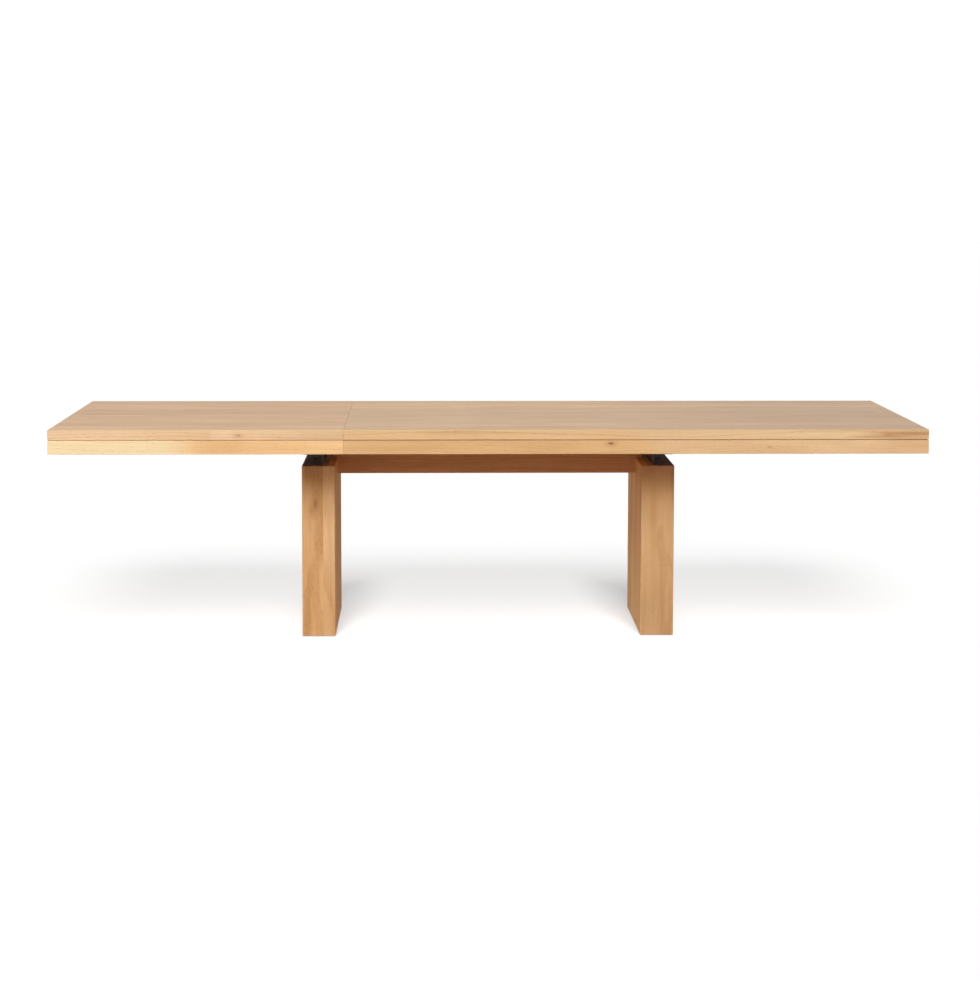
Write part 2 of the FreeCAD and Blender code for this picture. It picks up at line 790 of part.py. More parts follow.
def build_base():
    glides = floor_glides()
    bolts, _, bores = beam_fasteners()
    height = "leg_top - screw_bite"
    lap_spots = [(f"{sign}*(leg_in + beam_lap/2)", f"{turn}*beam_bolt_offset")
                 for sign in SIDES.values() for turn in ENDS.values()]
    lap_screws = screws("lap_screws", lap_spots, "beam_top - screw_head", COUNTERSUNK_DOWN,
                        height, f"beam_top - ({height})")
    screw_row = "(channel_length/2 - channel_screw_inset)"
    channel_spots = [(f"{sign}*channel_mid", f"{y}*{screw_row}") for sign in SIDES.values() for y in (-1, -0.33, 0.33, 1)]
    channel_screws = screws("channel_screws", channel_spots, "leg_top + steel_thick", PAN_HEAD,
                            height, f"leg_top + steel_thick - ({height})")
    keeper_spots = [(f"{sign}*channel_mid + {step}*keeper_bolt_spread", f"{turn}*(keeper_heel + keeper_face)/2")
                    for sign in SIDES.values() for turn in ENDS.values() for step in (-1, 1)]
    bolt_low = "channel_top - 2*steel_thick"
    keeper_bolts = screws("keeper_bolts", keeper_spots, "channel_top + steel_thick", PAN_HEAD,
                          bolt_low, f"channel_top + steel_thick - ({bolt_low})")
    for side, sign in SIDES.items():
        for label, board in leg_boards(side, sign).items():
            if "inner" in label:
                cut_from(label, board, [bolts, lap_screws])
            else:
                keep(label, board)
        top_plug = leg_plug(f"{side}_top_plug_blank", sign, "plug_low")
        cut_from(f"{side}_leg_top_plug", top_plug, [channel_screws])
        foot_plug = leg_plug(f"{side}_foot_plug_blank", sign, "glide_height")
        cut_from(f"{side}_leg_foot_plug", foot_plug, [glides])
        cut_from(f"{side}_slide_channel", channel(f"{side}_channel_blank", sign), [channel_screws, keeper_bolts])
        cut_from(f"{side}_keepers", keepers(f"{side}_keepers_blank", sign), [keeper_bolts])
        glide_pads(f"{side}_glide_pads", sign)
    cut_from("stretcher_beam", beam_blank(), [bolts, lap_screws, *bores])


def build_main_top():
    runner_mid = "(runner_near + runner_far)/2"
    head_low = "runner_low + counterbore_deep"
    runner_spots = [(x, f"{sign}*{runner_mid}") for sign in ENDS.values() for x in along_main(6, "inside_length")]
    runner_screws = screws("runner_screws", runner_spots, head_low, COUNTERSUNK_UP,
                           head_low, f"panel_low + screw_bite - ({head_low})")
    bores = [rod(f"counterbore_{number}", "counterbore_radius", "counterbore_deep", (x, y, "runner_low"))
             for number, (x, y) in enumerate(runner_spots)]
    guide_spots = [(x, f"{sign}*(guide_in + guide_out)/2") for sign in ENDS.values() for x in along_main(4, "guide_length")]
    guide_screws = screws("guide_screws", guide_spots, "guide_low", COUNTERSUNK_UP,
                          "guide_low", "panel_low - guide_low + screw_bite")
    pivots = latch_pivots()
    cut_from("main_panel", panel("main_panel_blank", "seam_x", "main_length"), [runner_screws, guide_screws])
    cut_from("main_left_apron", seam_apron("main_left_apron_blank", "seam_x"), [pivots])
    end_apron("main_right_apron", 1)
    stops = []
    for end, sign in ENDS.items():
        long_apron(f"main_{end}_apron", sign, "seam_x", "main_length", "half_length", 1)
        cut_from(f"{end}_runner", runner(f"{end}_runner_blank", sign), [runner_screws, *bores])
        cut_from(f"{end}_guide", guide(f"{end}_guide_blank", sign), [guide_screws])
        stops.append(bearer_stop(f"{end}_stop", sign))
    group("bearer_stops", stops)
    slide_stops()
    corner_blocks("main_corner_blocks", [(x, into, sign) for sign in ENDS.values()
                                         for x, into in (("inside_x", 1), ("half_length - apron_thick", -1))])


def build_bearers():
    for end, sign in ENDS.items():
        pin = rod(f"{end}_bearer_pin", "stop_pin_radius", "stop_pin_seat + stop_pin_top - bearer_top",
                  ("stop_pin_x", f"{sign}*bearer_mid", "bearer_top - stop_pin_seat"))
        keep(f"{end}_bearer_pin", pin)
        cut_from(f"{end}_bearer", bearer(f"{end}_bearer_blank", sign), [pin])


def build_leaf():
    batten_places = {
        "inner": "leaf_edge - apron_thick - leaf_batten_inset - leaf_batten_width",
        "outer": "apron_thick + leaf_batten_inset - half_length",
    }
    spots = [(f"{x} + leaf_batten_width/2", f"{y}*apron_in") for x in batten_places.values()
             for y in (-0.8, -0.2, 0.2, 0.8)]
    batten_screws = screws("leaf_batten_screws", spots, "leaf_batten_low", COUNTERSUNK_UP,
                           "leaf_batten_low", "panel_low - leaf_batten_low + screw_bite")
    pins = keeper_pins()
    cut_from("leaf_panel", panel("leaf_panel_blank", "-half_length", "leaf_length - seam_gap"), [batten_screws])
    cut_from("leaf_right_apron", seam_apron("leaf_right_apron_blank", "leaf_edge - apron_thick"), [pins])
    end_apron("leaf_left_apron", -1)
    for end, sign in ENDS.items():
        long_apron(f"leaf_{end}_apron", sign, "-half_length", "leaf_length - seam_gap", "-half_length", -1)
    for where, x in batten_places.items():
        blank = box(f"leaf_{where}_batten_blank", ("leaf_batten_width", "2*apron_in", "panel_low - leaf_batten_low"),
                    (x, "-apron_in", "leaf_batten_low"))
        cut_from(f"leaf_{where}_batten", blank, [batten_screws])
    corner_blocks("leaf_corner_blocks", [(x, into, sign) for sign in ENDS.values()
                                         for x, into in (("apron_thick - half_length", 1), ("leaf_edge - apron_thick", -1))])


def build_latches():
    for end, sign in ENDS.items():
        hook(f"{end}_latch_hook", sign)


def write_parts():
    """Check every object of the document, then write one file for each piece."""
    doc.recompute()
    for item in doc.Objects:
        if "Invalid" in item.State or "Error" in item.State:
            raise RuntimeError(f"{item.Label}: {item.State}")
    for label, item in nodes.items():
        if item.Shape.isNull() or not item.Shape.isValid() or not item.Shape.Solids:
            raise RuntimeError(f"{label}: no valid solid")
    os.makedirs("parts", exist_ok=True)
    for label, item in nodes.items():
        item.Shape.exportStep(f"parts/{label}.step")
    print(len(nodes), "pieces,", sum(len(item.Shape.Solids) for item in nodes.values()), "solids")


fill_sheet()
build_base()
build_main_top()
build_bearers()
build_leaf()
build_latches()
write_parts()
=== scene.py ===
# %% [markdown]
# An extending oak dining table, dressed for the camera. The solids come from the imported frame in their
# final places, so this lesson is about finishes: how one solid wood pattern can cover panels, aprons,
# legs and hidden rails, and how light and camera are set so that the wood shows its true colour.

# %% Load the frame
import json
import math

import bmesh
import bpy
from mathutils import Matrix, Vector

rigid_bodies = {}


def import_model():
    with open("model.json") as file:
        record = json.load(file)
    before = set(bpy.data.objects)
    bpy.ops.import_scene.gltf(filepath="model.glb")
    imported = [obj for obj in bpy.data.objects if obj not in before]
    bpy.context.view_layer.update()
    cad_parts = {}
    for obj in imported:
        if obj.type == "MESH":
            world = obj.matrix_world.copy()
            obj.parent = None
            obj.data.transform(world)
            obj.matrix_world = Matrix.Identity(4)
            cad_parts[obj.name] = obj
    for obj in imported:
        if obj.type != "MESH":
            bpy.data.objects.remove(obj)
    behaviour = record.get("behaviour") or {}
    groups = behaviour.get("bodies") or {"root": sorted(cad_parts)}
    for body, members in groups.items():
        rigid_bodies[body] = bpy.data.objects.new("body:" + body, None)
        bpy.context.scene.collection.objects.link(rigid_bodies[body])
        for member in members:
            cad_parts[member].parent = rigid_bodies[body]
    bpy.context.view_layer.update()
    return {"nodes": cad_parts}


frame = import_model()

# %% [markdown]
# Shader graphs are easier to read when each line says what goes in and what comes out. These helpers add
# one node, set its plain values and link its inputs, and they hand back an output socket. A Mix node has
# sockets for numbers, vectors and colours under the same names, so its colour sockets are picked by number.

# %% Helpers for shader graphs

MIX_FIRST, MIX_SECOND, MIX_RESULT = 6, 7, 2


def add_node(tree, kind, values=None, **settings):
    """Add a node, set its options and fill or link its inputs by name or number."""
    node = tree.nodes.new(kind)
    for name, value in settings.items():
        setattr(node, name, value)
    for name, value in (values or {}).items():
        if isinstance(value, bpy.types.NodeSocket):
            tree.links.new(value, node.inputs[name])
        else:
            node.inputs[name].default_value = value
    return node


def math_node(tree, operation, first, second=0.0, clamp=False):
    """One Math node; first and second are sockets or numbers."""
    values = {0: first, 1: second}
    return add_node(tree, "ShaderNodeMath", values, operation=operation, use_clamp=clamp).outputs[0]


def vector_node(tree, operation, first, second=(0.0, 0.0, 0.0)):
    """One Vector Math node that gives a vector."""
    values = {0: first, 1: second}
    return add_node(tree, "ShaderNodeVectorMath", values, operation=operation).outputs[0]


def split(tree, vector):
    """The three parts of a vector."""
    return add_node(tree, "ShaderNodeSeparateXYZ", {0: vector}).outputs


def mix_colors(tree, factor, first, second, blend="MIX"):
    """Blend two colours by a factor."""
    values = {"Factor": factor, MIX_FIRST: first, MIX_SECOND: second}
    node = add_node(tree, "ShaderNodeMix", values, data_type="RGBA", blend_type=blend)
    return node.outputs[MIX_RESULT]


def ramp(tree, value, low, high, to_low=0.0, to_high=1.0, smooth=True):
    """Map a value from one range to another, held at both ends."""
    node = add_node(tree, "ShaderNodeMapRange", {0: value, 1: low, 2: high, 3: to_low, 4: to_high})
    node.interpolation_type = "SMOOTHSTEP" if smooth else "LINEAR"
    return node.outputs[0]


print("helpers for graphs ready")

# %% [markdown]
# Most patterns start as noise. Plain noise makes clouds and specks. Noise with a small scale along one axis
# is drawn out into streaks there, which is what wood fibres look like. Noise along one number makes uneven
# steps, such as good and bad years in a tree.

# %% Helpers for noise


def noise(tree, vector, scale, detail):
    """Plain noise of one scale."""
    values = {"Vector": vector, "Scale": scale, "Detail": detail}
    return add_node(tree, "ShaderNodeTexNoise", values).outputs[0]


def stretched_noise(tree, vector, scales, detail=2.0, roughness=0.5):
    """Noise whose grains are drawn out: a small scale along an axis makes long streaks there."""
    scaled = vector_node(tree, "MULTIPLY", vector, scales)
    values = {"Vector": scaled, "Scale": 1.0, "Detail": detail, "Roughness": roughness}
    return add_node(tree, "ShaderNodeTexNoise", values).outputs[0]


def noise_along(tree, value, scale, detail):
    """Noise along one number, such as the distance from the pith."""
    values = {"W": value, "Scale": scale, "Detail": detail}
    return add_node(tree, "ShaderNodeTexNoise", values, noise_dimensions="1D").outputs[0]


print("helpers for noise ready")

# %% [markdown]
# A pattern that several finishes share is built once as a node group, and each finish places it with its own
# values. A group has named sockets, so that a finish can be read without looking inside.

# %% Helper for groups

VALUE, VECTOR, COLOR = "NodeSocketFloat", "NodeSocketVector", "NodeSocketColor"


def new_group(name, inputs, outputs):
    """An empty shader group with named sockets, and its inner ends."""
    group = bpy.data.node_groups.new(name, "ShaderNodeTree")
    for title, (kind, value) in inputs.items():
        socket = group.interface.new_socket(title, in_out="INPUT", socket_type=kind)
        if value is not None:
            socket.default_value = value
    for title, kind in outputs.items():
        group.interface.new_socket(title, in_out="OUTPUT", socket_type=kind)
    given = group.nodes.new("NodeGroupInput").outputs
    made = group.nodes.new("NodeGroupOutput").inputs
    return group, given, made


print("socket kinds:", VALUE, VECTOR, COLOR)

# %% [markdown]
# Oak is a bundle of growth rings, so the pattern is made as a solid: rings are cylinders around a pith
# that lies outside each stave, and any face simply cuts through them. A flat picture of grain would not
# agree where two faces meet. The rings waver along the trunk, and a noise along the radius makes some years
# wide and some faint.

# %% Growth rings

RINGS_PER_METRE = 110
RING_UNEVENNESS, UNEVEN_SCALE, SEASON_SCALE = 0.011, 60.0, 95.0
WAVER_SIZE, WAVER_SCALES = 0.08, (0.9, 6.0, 6.0)
PITH_ASIDE, PITH_RISE, PITH_DEPTH = 0.14, 0.17, 0.95


def pith_distance(group, grain, inside, height, chances):
    """How far a point is from its stave's pith, with the waver of the trunk."""
    aside = math_node(group, "SUBTRACT", inside, math_node(group, "MULTIPLY", chances[1], PITH_ASIDE))
    above = math_node(group, "ADD", height, math_node(group, "MULTIPLY", chances[2], PITH_RISE))
    above = math_node(group, "SUBTRACT", above, PITH_DEPTH)
    squares = math_node(group, "ADD", math_node(group, "MULTIPLY", aside, aside),
                        math_node(group, "MULTIPLY", above, above))
    waver = stretched_noise(group, grain, WAVER_SCALES, 3.0)
    sway = math_node(group, "MULTIPLY", math_node(group, "SUBTRACT", waver, 0.5), WAVER_SIZE)
    return math_node(group, "ADD", math_node(group, "SQRT", squares), sway)


def growth_rings(group, radius):
    """Dark late wood, 0 to 1, from the distance to the pith."""
    uneven = noise_along(group, radius, UNEVEN_SCALE, 1.0)
    spaced = math_node(group, "ADD", radius, math_node(group, "MULTIPLY", uneven, RING_UNEVENNESS))
    turn = math_node(group, "MULTIPLY", spaced, 2 * math.pi * RINGS_PER_METRE)
    season = ramp(group, noise_along(group, radius, SEASON_SCALE, 0.0), 0.3, 0.7, 0.15, 1.0)
    return math_node(group, "MULTIPLY", ramp(group, math_node(group, "SINE", turn), -0.3, 1.0), season)


print("rings to the metre:", RINGS_PER_METRE)

# %% [markdown]
# A panel is glued up from staves, and each stave comes from another part of the tree, so it gets its own
# pith, its own shift and its own tone. Streaks, fibres and open pores are noises drawn out along the grain.
# The grain runs along X of the vector that goes in, and each finish turns its coordinates to suit. The group
# gives a colour, a share of gloss for the roughness, and a height for the bump.

# %% The oak group

STAVE_SHIFTS = (7.0, 3.0, 3.0)
STREAK_SCALES, STREAK_SHARE = (1.4, 46.0, 46.0), 0.34
CLOUD_SCALES, CLOUD_SHARE = (3.2, 16.0, 16.0), 0.38
FIBRE_SCALES, FIBRE_SHARE, FIBRE_GLOSS, FIBRE_DIP = (16.0, 420.0, 420.0), 0.5, 0.1, 0.3
PORE_SCALES, PORE_SHARE, PORE_GLOSS, PORE_DIP = (60.0, 1500.0, 1500.0), 0.4, 0.2, 0.7
PORE_COLOR = (0.19, 0.085, 0.03, 1.0)
GLUE_WIDTH, GLUE_SHARE, GLUE_DIP = 0.0005, 0.28, 0.6


def stave_chance(group, across, seed):
    """Three chances, 0 to 1, that are the same all over one stave."""
    number = math_node(group, "FLOOR", across)
    key = add_node(group, "ShaderNodeCombineXYZ", {0: number, 1: seed, 2: 0.0}).outputs[0]
    return add_node(group, "ShaderNodeTexWhiteNoise", {"Vector": key}, noise_dimensions="3D").outputs["Color"]


def glue_line(group, part, width):
    """A thin line where two staves meet; part is the place in the stave, 0 to 1."""
    middle = math_node(group, "ABSOLUTE", math_node(group, "SUBTRACT", part, 0.5))
    off_edge = math_node(group, "MULTIPLY", math_node(group, "SUBTRACT", 0.5, middle), width)
    return ramp(group, off_edge, 0.0, GLUE_WIDTH, GLUE_SHARE, 0.0)


def darkness(group, grain, fibre, ring_part):
    """How far the wood goes from its light to its dark tone."""
    streak = ramp(group, stretched_noise(group, grain, STREAK_SCALES, 4.0, 0.62), 0.3, 0.7, smooth=False)
    cloud = ramp(group, stretched_noise(group, grain, CLOUD_SCALES, 3.0), 0.3, 0.7)
    streak_part = math_node(group, "MULTIPLY", streak, STREAK_SHARE)
    cloud_part = math_node(group, "MULTIPLY", cloud, CLOUD_SHARE)
    fibre_part = math_node(group, "MULTIPLY", math_node(group, "SUBTRACT", fibre, 0.5), FIBRE_SHARE)
    return math_node(group, "ADD", math_node(group, "ADD", ring_part, streak_part),
                     math_node(group, "ADD", cloud_part, fibre_part), clamp=True)


def weighed(group, first, share, second, other_share):
    """The sum of two values, each times its share."""
    return math_node(group, "ADD", math_node(group, "MULTIPLY", first, share),
                     math_node(group, "MULTIPLY", second, other_share))


def build_oak_group():
    group, given, made = new_group("oak_grain", {
        "Vector": (VECTOR, None),
        "Stave Width": (VALUE, 0.12),
        "Stave Shift": (VALUE, 0.0),
        "Seed": (VALUE, 1.0),
        "Stave Tone": (VALUE, 0.12),
        "Ring Share": (VALUE, 0.5),
        "Light": (COLOR, (0.7, 0.45, 0.22, 1.0)),
        "Dark": (COLOR, (0.5, 0.28, 0.12, 1.0)),
    }, {"Color": COLOR, "Gloss": VALUE, "Height": VALUE})
    place = split(group, given["Vector"])
    moved = math_node(group, "ADD", place[1], given["Stave Shift"])
    across = math_node(group, "DIVIDE", moved, given["Stave Width"])
    part = math_node(group, "FRACT", across)
    chance = stave_chance(group, across, given["Seed"])
    chances = split(group, chance)
    shift = vector_node(group, "MULTIPLY", chance, STAVE_SHIFTS)
    grain = vector_node(group, "ADD", given["Vector"], shift)

    inside = math_node(group, "MULTIPLY", part, given["Stave Width"])
    ring = growth_rings(group, pith_distance(group, grain, inside, place[2], chances))
    fibre = stretched_noise(group, grain, FIBRE_SCALES, 2.0, 0.7)
    pore_noise = stretched_noise(group, grain, PORE_SCALES, 1.0)
    in_ring = ramp(group, ring, 0.1, 0.9, 0.35, 1.0)
    pore = math_node(group, "MULTIPLY", ramp(group, pore_noise, 0.58, 0.68), in_ring)
    glue = glue_line(group, part, given["Stave Width"])

    ring_part = math_node(group, "MULTIPLY", ring, given["Ring Share"])
    wood = mix_colors(group, darkness(group, grain, fibre, ring_part), given["Light"], given["Dark"])
    lift = math_node(group, "MULTIPLY", math_node(group, "SUBTRACT", chances[0], 0.5), given["Stave Tone"])
    scale = {0: wood, "Scale": math_node(group, "ADD", 1.0, lift)}
    toned = add_node(group, "ShaderNodeVectorMath", scale, operation="SCALE").outputs[0]
    glued = mix_colors(group, glue, toned, given["Dark"])
    pored = mix_colors(group, math_node(group, "MULTIPLY", pore, PORE_SHARE), glued, PORE_COLOR)

    group.links.new(pored, made["Color"])
    group.links.new(weighed(group, fibre, FIBRE_GLOSS, pore, PORE_GLOSS), made["Gloss"])
    dips = weighed(group, pore, PORE_DIP, fibre, FIBRE_DIP)
    dips = math_node(group, "ADD", dips, math_node(group, "MULTIPLY", glue, GLUE_DIP))
    group.links.new(math_node(group, "SUBTRACT", 1.0, dips), made["Height"])
    return group


oak_group = build_oak_group()
print("oak group nodes:", len(oak_group.nodes))

# %% [markdown]
# A knot is where a branch left the trunk. It is a dark eye with a ragged rim and a soft brown halo that is
# longer along the grain. The group takes a place on the wood and gives a mask for the eye and one for the
# halo. With a small Draw the same shape becomes a long dark streak, as at the right end of the top.

# %% The knot group

KNOT_DRAW, RAGGED_SCALE = 0.45, 160.0


def build_knot_group():
    group, given, made = new_group("oak_knot", {
        "Vector": (VECTOR, None),
        "Place": (VECTOR, (0.0, 0.0, 0.0)),
        "Radius": (VALUE, 0.006),
        "Draw": (VALUE, KNOT_DRAW),
    }, {"Eye": VALUE, "Halo": VALUE})
    offset = vector_node(group, "SUBTRACT", given["Vector"], given["Place"])
    stretch = add_node(group, "ShaderNodeCombineXYZ", {0: given["Draw"], 1: 1.0, 2: 1.0}).outputs[0]
    drawn = vector_node(group, "MULTIPLY", offset, stretch)
    length = add_node(group, "ShaderNodeVectorMath", {0: drawn}, operation="LENGTH").outputs["Value"]
    ragged = math_node(group, "SUBTRACT", noise(group, offset, RAGGED_SCALE, 2.0), 0.5)
    away = math_node(group, "ADD", math_node(group, "DIVIDE", length, given["Radius"]), ragged)
    group.links.new(ramp(group, away, 0.5, 1.1, 1.0, 0.0), made["Eye"])
    group.links.new(ramp(group, away, 0.6, 3.4, 1.0, 0.0), made["Halo"])
    return group


knot_group = build_knot_group()
print("knot group nodes:", len(knot_group.nodes))

# %% [markdown]
# Hands rub the oil from the eased edges first. A face that is square to the axes has one normal part near 1,
# and a rounded or chamfered edge has none, so the largest part tells the two apart. A noise breaks the mask
# up, because wear is never even.

# %% The worn edge group

WEAR_SCALE = 38.0


def build_worn_group():
    group, given, made = new_group("worn_edges", {"Place": (VECTOR, None)}, {"Worn": VALUE})
    normal = add_node(group, "ShaderNodeNewGeometry").outputs["Normal"]
    parts = split(group, vector_node(group, "ABSOLUTE", normal))
    largest = math_node(group, "MAXIMUM", parts[0], math_node(group, "MAXIMUM", parts[1], parts[2]))
    eased = ramp(group, largest, 0.75, 0.99, 1.0, 0.0)
    broken = ramp(group, noise(group, given["Place"], WEAR_SCALE, 3.0), 0.35, 0.65)
    group.links.new(math_node(group, "MULTIPLY", eased, broken), made["Worn"])
    return group


worn_group = build_worn_group()
print("worn edge group nodes:", len(worn_group.nodes))

# %% [markdown]
# A finish starts from the object's own coordinates, turned so that the grain runs along the board. Its tone
# is the mean colour of the board, and the light and dark wood lie a little above and below it. Blue moves
# most and red least, because dark oak is also redder.

# %% The board's coordinates and tone

GRAIN_ORDER = {"X": (0, 1, 2), "Y": (1, 2, 0), "Z_front": (2, 0, 1), "Z_side": (2, 1, 0)}
LIGHT_WEIGHTS, DARK_WEIGHTS = (0.7, 0.95, 1.3), (-0.85, -1.3, -1.8)


def new_finish(name):
    """A material with its Principled shader, ready for textures."""
    material = bpy.data.materials.new(name)
    material.use_nodes = True
    tree = material.node_tree
    return material, tree, tree.nodes["Principled BSDF"]


def turned_coordinates(tree, grain):
    """Object coordinates in the order that puts the grain on X."""
    axes = split(tree, add_node(tree, "ShaderNodeTexCoord").outputs["Object"])
    turned = {slot: axes[axis] for slot, axis in enumerate(GRAIN_ORDER[grain])}
    return add_node(tree, "ShaderNodeCombineXYZ", turned).outputs[0]


def shaded(tone, contrast, weights):
    """The tone moved up or down by a contrast that may differ for red, green and blue."""
    return (*(channel * (1 + contrast * weight) for channel, weight in zip(tone, weights)), 1.0)


print("grain runs along:", sorted(GRAIN_ORDER))

# %% [markdown]
# Real boards are not even. One stave may be paler than its neighbours, the tone drifts along the length, and
# a few knots catch the eye. Some masks of the same kind carry painted light and shade instead: the flat top
# is painted darker and greyer than the lipping round it, and a paler band or a drift can be painted light.
# Each of these is a mask that tints or darkens the wood, and the grain still shows through.

# %% What makes one board differ from another, and painted light and shade

STAVE_RIM = 0.0006
KNOT_HALO, KNOT_EYE = (0.45, 0.21, 0.07, 1.0), (0.17, 0.075, 0.028, 1.0)


def paled(tree, color, along, across, pale_band):
    """Lighten a band across the board, for a paler stave and also for painted light: from and to across the
    board, start and full along it, and a tint.
    """
    low, high, start, full, tint = pale_band
    inside = math_node(tree, "MULTIPLY", ramp(tree, across, low, low + STAVE_RIM),
                       ramp(tree, across, high, high + STAVE_RIM, 1.0, 0.0))
    share = math_node(tree, "MULTIPLY", inside, ramp(tree, along, start, full))
    return mix_colors(tree, share, color, (*tint, 1.0), "MULTIPLY")


def drifted(tree, color, along, drifts):
    """Let a colour change by degrees along the grain: each drift is (start, full, tint)."""
    for start, full, tint in drifts:
        color = mix_colors(tree, ramp(tree, along, start, full), color, (*tint, 1.0), "MULTIPLY")
    return color


def place_knot(tree, vector, place, radius, draw=KNOT_DRAW):
    """The knot group at a place on the wood."""
    values = {"Vector": vector, "Place": place, "Radius": radius, "Draw": draw}
    return add_node(tree, "ShaderNodeGroup", values, node_tree=knot_group).outputs


def knotted(tree, color, vector, knots, streaks):
    """Darken the wood where branches were.

    A knot is (along, across, deep, radius, eye, halo), with the strength of its eye and of its halo. A streak
    is (along, across, deep, radius, draw, strength).
    """
    for *place, radius, eye, halo in knots:
        knot = place_knot(tree, vector, place, radius)
        color = mix_colors(tree, math_node(tree, "MULTIPLY", knot["Halo"], halo), color, KNOT_HALO)
        color = mix_colors(tree, math_node(tree, "MULTIPLY", knot["Eye"], eye), color, KNOT_EYE)
    for *place, radius, draw, strength in streaks:
        streak = place_knot(tree, vector, place, radius, draw)["Halo"]
        color = mix_colors(tree, math_node(tree, "MULTIPLY", streak, strength), color, KNOT_HALO)
    return color


def paint_top_shade(tree, edge_color, top_color):
    """One colour, a painted shade, for the face that looks up, and another for the rest."""
    normal = add_node(tree, "ShaderNodeNewGeometry").outputs["Normal"]
    return mix_colors(tree, ramp(tree, split(tree, normal)[2], 0.6, 0.9), edge_color, top_color)


print("a knot's colours:", KNOT_HALO, KNOT_EYE)

# %% [markdown]
# One function makes every wood finish. It runs the oak group, adds what the board has of its own, rubs the
# edges, and feeds colour, roughness and a fine bump to the shader. The oiled surface is satin, so the
# roughness stays near the middle, and the pores and worn edges are duller than the wood between.

# %% The wood finish

WORN_COLOR, WORN_SHARE, WORN_DULLNESS = (0.9, 0.66, 0.4, 1.0), 0.3, 0.1
MEAN_GLOSS = 0.05
GRAIN_STRENGTH, GRAIN_HEIGHT = 0.25, 0.0006


def wood_finish(name, grain, tone, contrast=0.16, stave=0.12, shift=0.0, seed=1.0, rings=0.4, roughness=0.5,
                shine=0.3, knots=(), streaks=(), pale_band=None, drifts=(), top_shade=None, top_drifts=()):
    """Oiled wood of a mean tone; places and lengths are in the turned coordinates, in metres.

    The stave and its shift lay out the glued boards, the seed picks the tree, rings is the share of the
    growth rings and shine is the strength of the gloss. The tint for the top is painted shade: it deepens and
    greys the face that looks up, and the top_drifts belong to that face alone.
    """
    material, tree, shader = new_finish(name)
    vector = turned_coordinates(tree, grain)
    along, across, _ = split(tree, vector)
    oak = add_node(tree, "ShaderNodeGroup", {
        "Vector": vector, "Stave Width": stave, "Stave Shift": shift, "Seed": seed, "Ring Share": rings,
        "Light": shaded(tone, contrast, LIGHT_WEIGHTS), "Dark": shaded(tone, contrast, DARK_WEIGHTS),
    }, node_tree=oak_group).outputs
    wood = oak["Color"]
    if pale_band is not None:
        wood = paled(tree, wood, along, across, pale_band)
    wood = knotted(tree, wood, vector, knots, streaks)
    color = drifted(tree, wood, along, drifts)
    # Painted shade: the face that looks up is darkened and greyed by its own tint.
    if top_shade is not None:
        deep = mix_colors(tree, 1.0, wood, (*top_shade, 1.0), "MULTIPLY")
        color = paint_top_shade(tree, color, drifted(tree, deep, along, top_drifts))
    worn = add_node(tree, "ShaderNodeGroup", {"Place": vector}, node_tree=worn_group).outputs["Worn"]
    color = mix_colors(tree, math_node(tree, "MULTIPLY", worn, WORN_SHARE), color, WORN_COLOR)
    tree.links.new(color, shader.inputs["Base Color"])
    dull = math_node(tree, "ADD", oak["Gloss"], math_node(tree, "MULTIPLY", worn, WORN_DULLNESS))
    tree.links.new(math_node(tree, "ADD", dull, roughness - MEAN_GLOSS), shader.inputs["Roughness"])
    shader.inputs["Specular IOR Level"].default_value = shine
    relief = {"Strength": GRAIN_STRENGTH, "Distance": GRAIN_HEIGHT, "Height": oak["Height"]}
    tree.links.new(add_node(tree, "ShaderNodeBump", relief).outputs[0], shader.inputs["Normal"])
    return material


print("worn share:", WORN_SHARE)

# %% [markdown]
# The top has two parts that were cut from different wood. The leaf is paler and pinker than the main top, and
# palest at its free end. On both panels the flat face that looks up is painted shade: darker and greyer than
# the lipping, as less of the light from the front falls on it. The front part of the leaf is painted light,
# paler where the light from the front is brightest. On the real table the right end of the main top is deeper
# in tone, with dark streaks in the lipping, and the lower band has one clear knot near its middle. The end
# bands take the tone that the long bands reach at the corner.

# %% Panels and bands

# The middle tint on each of the first two lines is painted shade for the flat face that looks up.
MAIN_EDGE, MAIN_TOP_SHADE, MAIN_BAND = (0.80, 0.535, 0.285), (0.89, 0.865, 0.895), (0.73, 0.46, 0.221)
LEAF_EDGE, LEAF_TOP_SHADE, LEAF_BAND = (0.87, 0.62, 0.38), (0.82, 0.715, 0.645), (0.925, 0.61, 0.31)
MAIN_END, LEAF_END = (0.73, 0.475, 0.257), (0.97, 0.78, 0.47)
PANEL_STAVE, WHOLE_BOARD = 0.125, 0.3
FRONT = -0.5

